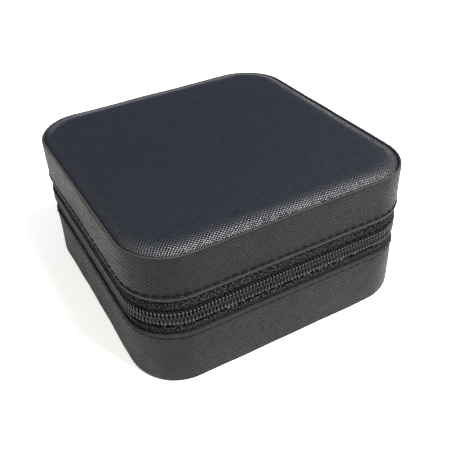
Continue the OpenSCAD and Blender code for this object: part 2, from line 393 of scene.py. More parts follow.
# %% Node helpers
class Recipe:
    """A material in the making: its tree, its shader, and short ways to add nodes."""

    def __init__(self, name, colour, roughness, metallic=0.0, specular=0.5):
        self.material = bpy.data.materials.new(name)
        self.material.use_nodes = True
        self.tree = self.material.node_tree
        self.shader = self.tree.nodes["Principled BSDF"]
        self.shader.inputs["Base Color"].default_value = (*colour, 1)
        self.shader.inputs["Roughness"].default_value = roughness
        self.shader.inputs["Metallic"].default_value = metallic
        self.shader.inputs["Specular IOR Level"].default_value = specular

    def node(self, kind, *sources, **settings):
        """A node with its sources in order. A setting with a capital names an input."""
        made = self.tree.nodes.new("ShaderNode" + kind)
        for key, value in settings.items():
            if key[0].islower():
                setattr(made, key, value)
        for socket, source in zip(made.inputs, sources):
            self.feed(socket, source)
        for key, value in settings.items():
            if key[0].isupper():
                self.feed(made.inputs[key.replace("_", " ")], value)
        return made

    def feed(self, socket, source):
        if isinstance(source, bpy.types.NodeSocket):
            self.tree.links.new(source, socket)
        elif isinstance(source, bpy.types.Node):
            self.tree.links.new(source.outputs[0], socket)
        elif source is not None:
            socket.default_value = source

    def math(self, operation, *sources):
        return self.node("Math", *sources, operation=operation)

    def place(self):
        return self.node("TexCoord").outputs["Object"]

    def grain_map(self):
        return self.node("UVMap", uv_map="grain").outputs["UV"]

    def mapped(self, source, scale=(1, 1, 1), turn=(0, 0, 0)):
        return self.node("Mapping", source, Scale=scale, Rotation=turn).outputs[0]

    def noise(self, source, scale, detail=2.0, roughness=0.5):
        made = self.node("TexNoise", source, Scale=scale, Detail=detail, Roughness=roughness)
        return made.outputs["Fac"]

    def spread(self, source, low, high, to_low=0.0, to_high=1.0):
        made = self.node("MapRange", source, From_Min=low, From_Max=high, To_Min=to_low,
                         To_Max=to_high)
        return made.outputs["Result"]

    def tint(self, factor, first, second):
        made = self.node("Mix", data_type="RGBA")
        self.feed(made.inputs["Factor"], factor)
        self.feed(made.inputs[6], (*first, 1) if isinstance(first, tuple) else first)
        self.feed(made.inputs[7], (*second, 1) if isinstance(second, tuple) else second)
        return made.outputs[2]

    def bump(self, height, depth, strength=1.0, under=None):
        made = self.node("Bump", Strength=strength, Distance=depth, Height=height, Normal=under)
        return made.outputs[0]

    def finish(self, colour=None, roughness=None, normal=None, **sockets):
        sockets.update(Base_Color=colour, Roughness=roughness, Normal=normal)
        for name, value in sockets.items():
            self.feed(self.shader.inputs[name.replace("_", " ")], value)
        return self.material


def dress(piece, material):
    piece.data.materials.clear()
    piece.data.materials.append(material)
    return piece


# %% [markdown]
# ## Cross-hatched leather
# The case is covered in a coated leather pressed with a fine diagonal lattice. Two sets of
# grooves cross at right angles, 45 degrees to the edges, and leave rows of tiny pillows.
# Each pillow catches the light by itself, so the lattice is worked as height: the product
# of two rounded waves. Noise bends the grooves a little, makes some pillows lower than
# others, and varies the gloss, because a pressed sheet is never quite even.

# %% Leather recipe
grain_pitch = 0.82 * mm
base_stitch_drop, lid_stitch_rise = 1.2 * mm, 2.0 * mm


def hatched_leather(name, tone, worn_unshaded_tone, roughness, depth, specular, hem=False):
    """Leather with a pressed lattice. Its pillows are lighter than its grooves, partly wear and
    partly painted shade in the grooves. A band's folded hem has painted light, and its rim a
    painted highlight.
    """
    recipe = Recipe(name, tone, roughness, specular=specular)
    sheet = recipe.grain_map()
    turned = recipe.mapped(sheet, (1 / grain_pitch,) * 3, (0, 0, math.radians(45)))
    wander = recipe.node("TexNoise", recipe.mapped(sheet, (180,) * 3), Scale=1)
    bent = recipe.node("VectorMath", wander.outputs["Color"], (0.9, 0.9, 0), turned,
                       operation="MULTIPLY_ADD")
    lanes = recipe.node("SeparateXYZ", bent)
    waves = []
    for axis in "XY":
        swing = recipe.math("SINE", recipe.math("MULTIPLY", lanes.outputs[axis], math.pi))
        waves.append(recipe.math("POWER", recipe.math("ABSOLUTE", swing), 0.6))
    pillows = recipe.math("MULTIPLY", *waves)
    cell = recipe.node("VectorMath", bent, operation="FLOOR")
    luck = recipe.node("TexWhiteNoise", cell)
    uneven = recipe.spread(luck.outputs["Value"], 0, 1, 0.72, 1.0)
    patches = recipe.spread(recipe.noise(sheet, 220, 3), 0.35, 0.65, 0.75, 1.0)
    height = recipe.math("MULTIPLY", recipe.math("MULTIPLY", pillows, uneven), patches)
    pores = recipe.noise(sheet, 9000, 2)
    fine = recipe.bump(pores, 0.004 * mm, 0.5)
    normal = recipe.bump(height, depth, 1.0, fine)
    cloudy = recipe.spread(recipe.noise(recipe.place(), 55, 3), 0.35, 0.65, 0.45, 1.0)
    # Pillow tops are lighter than the grooves: partly wear, partly painted shade in the grooves.
    wear_and_groove_shade = recipe.math("MULTIPLY", recipe.spread(height, 0.15, 0.85), cloudy)
    colour = recipe.tint(wear_and_groove_shade, tone, worn_unshaded_tone)
    if hem:
        rise = recipe.node("SeparateXYZ", sheet).outputs["Y"]
        above = recipe.math("DIVIDE", recipe.math("SUBTRACT", rise, lid_hem), lid_stitch_rise)
        below = recipe.math("DIVIDE", recipe.math("SUBTRACT", base_hem, rise), base_stitch_drop)
        # Painted light: the hem beyond its stitches is tinted lighter, standing in for the light it
        # catches as it tilts up.
        folded = recipe.spread(recipe.math("MAXIMUM", above, below), 0.7, 0.9, 0.45, 0.0)
        colour = recipe.tint(folded, colour, (0.023, 0.022, 0.0215))
        # Painted highlight: a lighter line along the band's top rim, where it would catch the
        # light.
        rim = recipe.spread(rise, seam_z - 0.1 * mm, seam_z + 0.3 * mm, 0.0, 0.6)
        colour = recipe.tint(rim, colour, (0.05, 0.05, 0.055))
    gloss = recipe.spread(height, 0.15, 0.75, roughness + 0.38, roughness - 0.03)
    return recipe.finish(colour, gloss, normal)


# Both are one black leather. The sides are tinted warm, painted light from the warm floor, and the
# top is tinted blue, a painted reflection of the bluish sky behind the case.
side_leather = hatched_leather("side_leather", (0.004, 0.0037, 0.0033), (0.0066, 0.0060, 0.0050),
                               roughness=0.36, depth=0.32 * mm, specular=0.12, hem=True)
top_leather = hatched_leather("top_leather", (0.0015, 0.002, 0.0038), (0.0022, 0.0033, 0.0072),
                              roughness=0.20, depth=0.19 * mm, specular=0.60)

# %% [markdown]
# ## The padded top panel
# On the real case a sheet of leather is drawn over foam and a board, and glued down inside
# the rim of the lid's side band. It lies nearly flat and rolls over at its edge. Insetting
# keeps the corners round at every step, so the panel is one bevelled square, extruded to
# its rim and then inset again and again, each step a little higher along a curve that
# flattens out. The middle is refilled with a grid, so that it can be dished and dented by hand.

# %% Top panel and its foam
def undulate(piece, size, depth, seed, move=None):
    """Pushes vertices along their normals by soft noise, as leather and foam really lie."""
    normals = [v.normal.copy() for v in piece.data.vertices]
    for vertex, normal in zip(piece.data.vertices, normals):
        wave = noise.noise(vertex.co / size + Vector((seed, seed * 2.3, seed * 0.7)))
        share = 1.0 if move is None else move(vertex.co)
        vertex.co += normal * wave * depth * share
    piece.data.update()


def crowned_panel(name, inset, base_z, roll_z, roll, rise, dome):
    """A panel with the case's outline, a rolled edge and a refilled, gridded middle."""
    let_go()
    bpy.ops.mesh.primitive_plane_add(size=2 * (half - inset), location=(0, 0, base_z))
    panel = named(bpy.context.object, name)
    edit(panel)
    bpy.ops.mesh.bevel(affect="VERTICES", offset=corner - inset, offset_type="OFFSET",
                       segments=16)
    pick(panel, "EDGE", lambda e: e.calc_length() > flat)
    bpy.ops.mesh.subdivide(number_cuts=11)
    pick(panel, "FACE", lambda f: True)
    pull((0, 0, roll_z - base_z))
    lip = min(0.3 * mm, roll / 4)
    heights = [(lip * (1 - math.cos(a)), lip * math.sin(a)) for a in (0.0, 0.5, 1.0)]
    for i in range(1, 10):
        across = (i / 9) ** 1.4
        up_share = 1 - (1 - across) ** 2.7
        heights.append((lip + (roll - lip) * across, lip + (rise - lip) * up_share))
    for (d0, z0), (d1, z1) in zip(heights, heights[1:]):
        bpy.ops.mesh.inset(thickness=d1 - d0, depth=z1 - z0, use_even_offset=True)
    for _ in range(4):
        bpy.ops.mesh.inset(thickness=(corner - inset - roll) / 5, depth=0, use_even_offset=True)
    bpy.ops.mesh.delete(type="ONLY_FACE")
    rim = roll_z + rise - base_z
    pick(panel, "EDGE", lambda e: e.is_boundary and e.verts[0].co.z > rim - 0.01 * mm)
    bpy.ops.mesh.fill_grid(span=28)
    settle_outward(panel)
    smooth_out(panel)
    reach = half - inset - roll
    for vertex in panel.data.vertices:
        x, y = vertex.co.x / reach, vertex.co.y / reach
        if vertex.co.z > roll_z + rise * 0.9:
            vertex.co.z += dome * max(0, 1 - x ** 4) * max(0, 1 - y ** 4)
    return panel


top_roll = 6.4 * mm
top = crowned_panel("lid_top_leather_skin", skin + 0.32 * mm, low("lid_top_leather").z,
                    seam_z - 0.45 * mm, top_roll, 1.7 * mm, 0.12 * mm)
smooth_out(top)


def off_the_rim(place):
    _, out = from_spine(place)
    return max(0.0, min(1.0, (corner - skin - out.length) / (5 * mm)))


undulate(top, 30 * mm, 0.16 * mm, 3.1, off_the_rim)
undulate(top, 9 * mm, 0.05 * mm, 8.4, off_the_rim)
lay_flat(top, corner - skin - top_roll, 0.07)
apply(top, "SOLIDIFY", thickness=0.8 * mm, offset=-1)
smooth(dress(top, top_leather), 60)
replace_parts(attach(top, "lid"), "lid_top_leather")

foam_inset = half - high("lid_top_foam").x
foam_card = Recipe("foam", (0.62, 0.58, 0.49), 0.95, specular=0.2)
cells = foam_card.node("TexVoronoi", foam_card.place(), Scale=2600)
foam_tone = foam_card.tint(foam_card.noise(foam_card.place(), 160, 4), (0.50, 0.46, 0.37),
                           (0.70, 0.67, 0.58))
foam = foam_card.finish(foam_tone, None, foam_card.bump(cells, 0.12 * mm, 0.8))
pad = crowned_panel("lid_top_foam_pad", foam_inset + 0.1 * mm, low("lid_top_foam").z,
                    seam_z - 1.45 * mm, 6.0 * mm, 1.45 * mm, 0.15 * mm)
close_rim(pad)
settle_outward(pad)
smooth(dress(pad, foam), 50)
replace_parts(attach(pad, "lid"), "lid_top_foam")
top_crown = max(v.co.z for v in top.data.vertices)
print("top panel:", len(top.data.polygons), "faces, crown at", round(top_crown / mm, 2), "mm")

# %% [markdown]
# ## The side bands
# Each half of the case is wrapped in one strip of the same leather. The strip is folded
# over at the zip, so its hem is double, stands a little proud, and is pulled down along
# the row of stitches. At the bottom it turns under the case with a soft edge, and on the
# lid it stops just above the edge of the top panel, so that a fine dark line shows there.
# The section is traced once and carried round.

# %% Side bands
def in_mm(points):
    return [(x * mm, z * mm) for x, z in points]


def hem_section(edge, way, reach):
    """The folded hem, from below its stitches to its inside. Its stitches are at the reach."""
    rows = [(0.0, 3.8), (-0.02, 3.1), (-0.10, 2.5), (-0.20, 2.1), (-0.12, 1.85), (0.12, 1.6),
            (0.22, 1.3), (0.06, 0.7), (-0.18, 0.26), (-0.42, 0.04), (-0.72, 0.0),
            (-0.94, 0.12), (-1.0, 0.5)]
    return [(o * mm, edge - way * d / 2 * reach) for o, d in rows]


def side_band(name, section, wave_seed):
    band = smooth_out(carry_round(name, section), levels=2)
    for vertex in band.data.vertices:
        x, y, z = vertex.co
        _, out = from_spine(vertex.co)
        if out.length < corner - 0.55 * mm:
            continue
        near_hem = min(abs(z - base_hem), abs(z - lid_hem)) / mm
        calm = min(1.0, 0.35 + near_hem / 8)
        wave = noise.noise(Vector((x, y, z)) / (17 * mm) + Vector((wave_seed, 0, 0)))
        crumple = noise.noise(Vector((x, y, z * 0.8)) / (6 * mm) + Vector((0, wave_seed, 0)))
        vertex.co += out.normalized() * (wave * 0.34 + crumple * 0.05) * calm * mm
    lay_round(band, (base_hem if section[0][1] < base_hem else seam_z) / 2)
    return smooth(dress(band, side_leather), 50)


turn_in = arc((-1.1 * mm, 1.1 * mm), 1.1 * mm, -90, 0, 5)
base_band = side_band(
    "base_side_leather_skin",
    in_mm([(-1.0, 6), (-1.0, 1.2)]) + turn_in + in_mm([(0.02, 4.5), (0.02, 9), (0.02, 13)])
    + hem_section(base_hem, 1, base_stitch_drop) + [(-1.0 * mm, base_hem - 6 * mm)], 4.2)
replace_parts(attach(base_band, "base"), "base_side_leather")

rim = [(-1.0, -5), (-1.0, -0.7), (-0.92, -0.18), (-0.72, 0.05), (-0.45, 0.05), (-0.2, -0.12),
       (-0.04, -0.5), (0, -1.3), (0.03, -3), (0.04, -5.5), (0.04, -9)]
lid_band = side_band(
    "lid_side_leather_skin",
    [(o * mm, seam_z + z * mm) for o, z in rim]
    + hem_section(lid_hem, -1, lid_stitch_rise) + [(-1.0 * mm, lid_hem + 6 * mm)], 9.7)
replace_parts(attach(lid_band, "lid"), "lid_side_leather")
print("bands:", len(base_band.data.polygons), "and", len(lid_band.data.polygons), "faces")

# %% [markdown]
# ## The stitches
# A lockstitch shows as a row of short threads that dive into the leather at both ends. One
# stitch is a small bent cylinder: its middle stands up and its ends are pulled in.
# It is copied along the way round, each copy turned to face outward.

# %% Stitches
thread_card = Recipe("thread", (0.003, 0.003, 0.0035), 0.8, specular=0.08)
aslant = thread_card.mapped(thread_card.place(), turn=(0.6, 0.8, 0.5))
twist = thread_card.node("TexWave", aslant, Scale=900)
thread_tone = thread_card.tint(thread_card.noise(thread_card.place(), 500),
                               (0.002, 0.002, 0.0025), (0.005, 0.005, 0.006))
thread = thread_card.finish(thread_tone, None, thread_card.bump(twist, 0.02 * mm))


def laid_along(name, model, places):
    """Copies a small model to many (matrix) places and joins the copies in one piece."""
    let_go()
    copies = []
    for place in places:
        copy = model.copy()
        copy.data = model.data.copy()
        copy.data.transform(place)
        bpy.context.collection.objects.link(copy)
        copies.append(copy)
    for copy in copies:
        copy.select_set(True)
    bpy.context.view_layer.objects.active = copies[0]
    bpy.ops.object.join()
    joined = named(bpy.context.object, name)
    bpy.data.objects.remove(model)
    return joined


def facing(distance, z, inset=0.0, lean=0.0):
    """The place of a small model on the way round: its X along, its Y outward, its Z up."""
    place, out = around(distance)
    along = Vector((-out.y, out.x, 0))
    turned = Matrix((along, Vector((out.x, out.y, 0)), Vector((0, 0, 1)))).transposed().to_4x4()
    at = Matrix.Translation((place.x - out.x * inset, place.y - out.y * inset, z))
    return at @ turned @ Matrix.Rotation(lean, 4, "Y")


def stitch_model(length):
    let_go()
    bpy.ops.mesh.primitive_cylinder_add(vertices=6, radius=0.28 * mm, depth=length,
                                        rotation=(0, math.pi / 2, 0))
    stitch = settle(bpy.context.object)
    edit(stitch)
    pick(stitch, "EDGE", lambda e: e.calc_length() > mm)
    bpy.ops.mesh.subdivide(number_cuts=3)
    settle(stitch)
    for vertex in stitch.data.vertices:
        share = abs(vertex.co.x) / (length / 2)
        vertex.co.y -= 0.30 * mm * share ** 2.5
        vertex.co.z *= 1 - 0.35 * share ** 3
    return smooth(stitch, 70)


stitch_pitch, stitch_length = 3.1 * mm, 2.35 * mm
stitch_count = round(round_length / stitch_pitch)
for half_name, z, body in (("lower", base_hem - base_stitch_drop, "base"),
                           ("upper", lid_hem + lid_stitch_rise, "lid")):
    places = [facing(round_length * (i + 0.5) / stitch_count, z, lean=math.radians(4))
              for i in range(stitch_count)]
    row = laid_along(half_name + "_hem_stitches", stitch_model(stitch_length), places)
    dress(row, thread)
    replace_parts(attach(row, body), half_name + "_hem_thread")
print(stitch_count, "stitches in each row")

# %% [markdown]
# ## The zip tapes
# Each half of the zip is a woven tape. One edge is sewn in behind the hem, and the other
# carries the coil. Between the two the tape bellies out a little, because the case is
# stuffed tight, and then dips in beside the coil. It is carried round as an open strip that
# stops where the leather hinge begins. Its weave is a herringbone of fine slanted ribs.

# %% Zip tapes
tape_card = Recipe("zip_tape", (0.006, 0.006, 0.0075), 0.9, specular=0.04)
rib_pitch = 0.62 * mm
tape_sheet = tape_card.grain_map()
tape_map = tape_card.node("SeparateXYZ", tape_card.mapped(tape_sheet, (1 / rib_pitch,) * 3))
zigzag = tape_card.math("PINGPONG", tape_map.outputs["Y"], 1.55)
slant = tape_card.math("ADD", tape_map.outputs["X"], tape_card.math("MULTIPLY", zigzag, 0.9))
ribs = tape_card.math("SINE", tape_card.math("MULTIPLY", slant, 2 * math.pi))
picks = tape_card.math("SINE", tape_card.math("MULTIPLY", tape_map.outputs["Y"],
                                              2 * math.pi * 1.1))
fuzz = tape_card.noise(tape_sheet, 1500)
woven = tape_card.math("ADD", tape_card.math("MULTIPLY", ribs, 0.35),
                       tape_card.math("MULTIPLY", picks, 0.3))
woven = tape_card.math("ADD", woven, tape_card.math("MULTIPLY", fuzz, 0.5))
specks = tape_card.spread(tape_card.noise(tape_sheet, 2050, 1), 0.50, 0.59)
tape_tone = tape_card.tint(tape_card.math("MULTIPLY", tape_card.spread(woven, -0.1, 0.9), specks),
                           (0.0008, 0.0008, 0.0013), (0.070, 0.070, 0.080))
zip_tape = tape_card.finish(tape_tone, None, tape_card.bump(woven, 0.10 * mm, 1.0))


def zip_strip(name, hem, way):
    """way is +1 for the lower tape, which goes up from its hem, and -1 for the upper one."""
    face = [(-1.06, -3.9), (-1.05, -1.5), (-1.02, -0.2), (-0.70, 0.6), (-0.34, 1.6),
            (-0.26, 2.5), (-0.46, 3.15), (-1.0, 3.6), (-1.12, 4.3), (-1.14, 5.2)]
    rear = [(-1.44, 5.2), (-1.44, 4.3), (-1.40, 3.7), (-1.04, 3.1), (-0.80, 2.4),
            (-0.86, 1.6), (-1.2, 0.7), (-1.44, -0.2), (-1.44, -3.9)]
    section = [(o * mm, hem + way * d * mm) for o, d in face + rear]
    strip = smooth_out(carry_round(name, section, start=hinge_x, steps=10))
    for vertex in strip.data.vertices:
        past_hem = (vertex.co.z - hem) * way / mm
        if 0 < past_hem < 3.6:
            _, out = from_spine(vertex.co)
            wave = noise.noise(vertex.co / (8 * mm)) * 0.16 * mm * min(1, past_hem)
            vertex.co += out.normalized() * wave
    lay_round(strip, part_z)
    return smooth(dress(strip, zip_tape), 50)


for half_name, hem, way, body in halves:
    strip = zip_strip(half_name + "_zip_tape_woven", hem, way)
    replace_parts(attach(strip, body), half_name + "_zip_tape")
    print(strip.name, len(strip.data.polygons), "faces")

# %% [markdown]
# ## The coil
# A coil zip is one nylon thread wound into a spring along the edge of each tape. Every turn
# is a narrow loop with a wider head, and the heads of one side sit in the gaps of the
# other. One loop is traced as a bent tube of six sides: up the face of the tape, round the
# head and back behind. It is then copied at the zip's pitch, and the upper half is set
# half a pitch on and mirrored, so that the two rows knit in the middle.

# %% Coil
coil_card = Recipe("zip_coil", (0.006, 0.006, 0.0075), 0.36, specular=0.14)
zip_coil = coil_card.finish(coil_card.tint(
    coil_card.noise(coil_card.place(), 300), (0.004, 0.004, 0.0054), (0.0095, 0.0095, 0.011)))
coil_pitch, coil_inset = 1.18 * mm, 0.42 * mm
coil_run = round_length - 2 * hinge_x
coil_count = round(coil_run / coil_pitch)


def loop_model(way):
    """One turn of the coil, with its root at the tape and its head past the middle."""
    let_go()
    line = [(-0.34, -0.28, -2.45), (-0.24, 0.12, -1.7), (-0.10, 0.20, -0.9),
            (0.06, 0.08, -0.1), (0.16, -0.16, 0.34), (0.24, -0.50, 0.32), (0.30, -0.8, -0.5),
            (0.36, -0.8, -2.2)]
    wide = [0.24, 0.27, 0.27, 0.30, 0.31, 0.28, 0.24, 0.22]
    line = [Vector((x, y, z * way)) * mm for x, y, z in line]
    ahead = (line[1] - line[0]).normalized()
    bpy.ops.mesh.primitive_circle_add(vertices=6, radius=wide[0] * mm, fill_type="NGON",
                                      location=line[0])
    loop = bpy.context.object
    loop.rotation_euler = Vector((0, 0, 1)).rotation_difference(ahead).to_euler()
    settle(loop)
    edit(loop)
    for i in range(1, len(line)):
        pull(line[i] - line[i - 1])
        if i < len(line) - 1:
            onward = (line[i + 1] - line[i - 1]).normalized()
            turn = ahead.rotation_difference(onward)
            mesh = bmesh.from_edit_mesh(loop.data)
            ring = [v for v in mesh.verts if v.select]
            grow = wide[i] / wide[i - 1]
            for v in ring:
                v.co = line[i] + turn @ ((v.co - line[i]) * grow)
            bmesh.update_edit_mesh(loop.data)
            ahead = onward
    return smooth(settle_outward(loop), 75)


def one_to_a_turn(way, z, inset):
    """Places along the zip, one to a turn. The upper row is set half a pitch on."""
    shift = 0.25 if way > 0 else 0.75
    first, run = hinge_x + coil_pitch * 0.3, coil_run - coil_pitch * 0.6
    return [facing(first + run * (i + shift) / coil_count, z, inset)
            for i in range(coil_count)]


for half_name, _, way, body in halves:
    row = laid_along(half_name + "_coil_turns", loop_model(way),
                     one_to_a_turn(way, part_z, coil_inset))
    dress(row, zip_coil)
    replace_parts(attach(row, body), half_name + "_zip_coil")
    print(row.name, coil_count, "turns,", len(row.data.polygons), "faces")

# %% [markdown]
# Two rows of sewing thread hold the coil down on its tape. They show as a row of small
# knots beside the coil, one to every turn.

# %% Knots beside the coil
def knot_model():
    let_go()
    bpy.ops.mesh.primitive_uv_sphere_add(segments=6, ring_count=4, radius=0.30 * mm)
    knot = bpy.context.object
    edit(knot)
    bpy.ops.transform.resize(value=(1.15, 0.7, 0.8))
    pick(knot, "VERT", lambda v: v.co.y < -0.05 * mm)
    bpy.ops.transform.translate(value=(0, -0.1 * mm, 0))
    return smooth(settle(knot), 80)


knot_row = 1.85 * mm
knot_card = Recipe("knot_thread", (0.10, 0.10, 0.105), 0.5)
knot_thread = knot_card.finish(knot_card.tint(
    knot_card.noise(knot_card.place(), 900), (0.010, 0.010, 0.012), (0.038, 0.038, 0.040)))
for half_name, _, way, body in halves:
    row = laid_along(half_name + "_coil_knots", knot_model(),
                     one_to_a_turn(way, part_z - way * knot_row, 0.10 * mm))
    dress(row, knot_thread)
    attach(row, body)
print("knots beside the coil:", 2 * coil_count)

# %% [markdown]
# ## The underside and the leather hinge
# The underside is one flat piece of the same leather, glued on a board, with a rounded edge
# that sits inside the band. The hinge is a strip of leather that takes the place of the zip
# on the back. It must fold when the lid opens, so it gets rows of faces up its height, but
# it is tied to neither of the two bodies that it joins.

# %% Underside and hinge
def closed_pad(name, inset, z0, z1, roll, down=False):
    """A panel closed at its back; it can be turned to face down."""
    rise = (z1 - z0) / 2
    panel = crowned_panel(name, inset, z0, z1 - rise, roll, rise, 0.0)
    close_rim(panel)
    bpy.ops.mesh.select_all(action="SELECT")
    if down:
        bpy.ops.transform.mirror(constraint_axis=(False, False, True),
                                 center_override=(0, 0, (z0 + z1) / 2))
    return settle_outward(panel)


under = closed_pad("base_bottom_leather_skin", skin + 0.02 * mm, 0.0,
                   high("base_bottom_leather").z, 1.0 * mm, down=True)
lay_flat(under, corner - skin - mm, 0.2, aside=4 * half)
smooth(dress(under, side_leather), 50)
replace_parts(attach(under, "base"), "base_bottom_leather")

strip_low, strip_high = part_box("hinge_strip")
let_go()
bpy.ops.mesh.primitive_grid_add(
    x_subdivisions=30, y_subdivisions=28, size=1, rotation=(math.pi / 2, 0, 0),
    location=(0, strip_high.y - 0.05 * mm, (strip_low.z + strip_high.z) / 2))
hinge = named(bpy.context.object, "hinge_strip_leather")
hinge.scale = (strip_high.x - strip_low.x, strip_high.z - strip_low.z, 1)
settle(hinge)
for vertex in hinge.data.vertices:
    up_share = (vertex.co.z - base_hem) / (lid_hem - base_hem)
    if 0 < up_share < 1:
        wrinkle = noise.noise(Vector((vertex.co.x / (9 * mm), 2.0, vertex.co.z / (2.6 * mm))))
        vertex.co.y += 0.38 * mm * math.sin(math.pi * up_share) ** 0.7
        vertex.co.y += 0.12 * mm * wrinkle
edit(hinge)
settle_outward(hinge)
if sum(face.normal.y for face in hinge.data.polygons) < 0:
    flip(hinge)
apply(hinge, "SOLIDIFY", thickness=0.4 * mm, offset=-1)
smooth_out(hinge)
lay_round(hinge, part_z * 4)
smooth(dress(hinge, side_leather), 60)
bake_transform(hinge)
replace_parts(hinge, "hinge_strip")
print("hinge strip:", len(hinge.data.polygons), "faces")

# %% [markdown]
# ## Boards and side foam
# Greyboard gives the case its shape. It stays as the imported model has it, with a pulpy
# grey-brown finish. A thin foam sheet softens the sides behind the leather.

# %% Boards and foam
board_card = Recipe("greyboard", (0.30, 0.25, 0.19), 0.93, specular=0.2)
pulp = board_card.noise(board_card.place(), 700, 4, 0.7)
fleck = board_card.spread(board_card.noise(board_card.place(), 2400, 2), 0.62, 0.7)
pulp_tone = board_card.tint(board_card.spread(pulp, 0.3, 0.7), (0.24, 0.20, 0.155),
                            (0.36, 0.31, 0.24))
greyboard = board_card.finish(board_card.tint(fleck, pulp_tone, (0.12, 0.10, 0.085)), None,
                              board_card.bump(pulp, 0.08 * mm))
for node in ("base_floor_board", "base_wall_board", "lid_board", "lid_wall_board"):
    dress(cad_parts[node], greyboard)

for node, body in (("base_side_foam", "base"), ("lid_side_foam", "lid")):
    z0, z1 = low(node).z + 0.1 * mm, high(node).z - 0.1 * mm
    outer, inner = half - high(node).x + 0.03 * mm, half - high(node).x + 0.42 * mm
    levels = [z0 + (z1 - z0) * i / 4 for i in range(5)]
    section = [(-outer, z) for z in levels] + [(-inner, z) for z in reversed(levels)]
    sheet = carry_round(node + "_sheet", section, straight=11 * mm, steps=8)
    undulate(sheet, 9 * mm, 0.03 * mm, 1.7)
    smooth(dress(sheet, foam), 50)
    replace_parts(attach(sheet, body), node)

# %% [markdown]
# ## Velvet
# Everything inside is covered in flocked velvet. It has no gloss of its own, but its short
# pile lights up where it is seen edge on, and that is what the sheen does. The nap lies
# one way here and another way there, which shows as soft lighter patches.

# %% Velvet recipe
velvet_card = Recipe("velvet", (0.05, 0.05, 0.058), 0.95, specular=0.08)
pile = velvet_card.noise(velvet_card.place(), 5200, 3, 0.65)
nap = velvet_card.noise(velvet_card.place(), 140, 4, 0.6)
brushed = velvet_card.math("MULTIPLY", velvet_card.spread(nap, 0.25, 0.78, 0.15, 0.85),
                           velvet_card.spread(pile, 0.3, 0.7, 0.6, 1.0))
velvet_tone = velvet_card.tint(brushed, (0.020, 0.020, 0.025), (0.052, 0.052, 0.062))
velvet = velvet_card.finish(
    velvet_tone, None, velvet_card.bump(pile, 0.16 * mm, 0.9),
    Sheen_Weight=0.32, Sheen_Roughness=0.35, Sheen_Tint=(0.80, 0.80, 0.88, 1))


def finish_velvet(piece, body, node, angle=55):
    smooth(dress(piece, velvet), angle)
    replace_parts(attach(piece, body), node)


# %% [markdown]
# ## The linings of the walls, floor and ceiling
# The wall lining is drawn up inside the case and folded over the top of the board, where it
# makes a soft round rim. Its section is traced and carried round like the bands. The floor
# and the ceiling are thin padded panels, made the way the top panel was.

# %% Linings
def wall_lining(node, body, way):
    lo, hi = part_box(node)
    rim, foot = (hi.z, lo.z) if way > 0 else (lo.z, hi.z)
    outer = -(half - hi.x)
    inner = outer - 2.4 * mm
    from_foot = [(0, 0.15), (0, 5), (0, 10)]
    to_rim = [(0, 4), (0, 1.2), (0.12, 0.5), (0.45, 0.1), (0.9, 0), (1.6, 0), (2.15, 0.12),
              (2.4, 0.45), (2.4, 0.72), (0.9, 0.74), (0.74, 1.5)]
    rows = [(inner + o * mm, foot + way * d * mm) for o, d in from_foot]
    rows += [(inner + o * mm, rim - way * d * mm) for o, d in to_rim]
    rows += [(inner + 0.74 * mm, foot + way * 0.15 * mm)]
    lining = smooth_out(carry_round(node + "_velvet", rows, steps=10))
    undulate(lining, 12 * mm, 0.10 * mm, 5.5 + way)
    finish_velvet(lining, body, node)


wall_lining("base_wall_lining", "base", 1)
wall_lining("lid_wall_lining", "lid", -1)
room_inset = half - high("base_floor_lining").x
floor_pad = closed_pad("base_floor_lining_velvet", room_inset + 0.05 * mm,
                       low("base_floor_lining").z, high("base_floor_lining").z, 1.4 * mm)
finish_velvet(floor_pad, "base", "base_floor_lining")
ceiling_pad = closed_pad("lid_ceiling_lining_velvet", room_inset + 0.05 * mm,
                         low("lid_ceiling_lining").z, high("lid_ceiling_lining").z,
                         1.2 * mm, down=True)
finish_velvet(ceiling_pad, "lid", "lid_ceiling_lining")
print("room inside:", round(2 * (half - room_inset) / mm, 1), "mm square")

# %% [markdown]
# ## Ring rolls
# Rings are pushed between soft rolls: foam wrapped in velvet, side by side on the floor. One
# roll is a cylinder with its ends inset and pushed out to a pillow, cut into rows along its
# length, and pressed flat where it stands. Noise gives the slight creases of a hand-wrapped
# roll. Where a roll meets the round corner of the room, it is squeezed inside.

# %% Ring rolls
def keep_within(piece, inset):
    """Squeezes vertices inside the case's outline, a distance in from its outer face."""
    for vertex in piece.data.vertices:
        near, out = from_spine(vertex.co)
        room = corner - inset
        if out.length > room:
            moved = near + out * (room / out.length)
            vertex.co.x, vertex.co.y = moved.x, moved.y


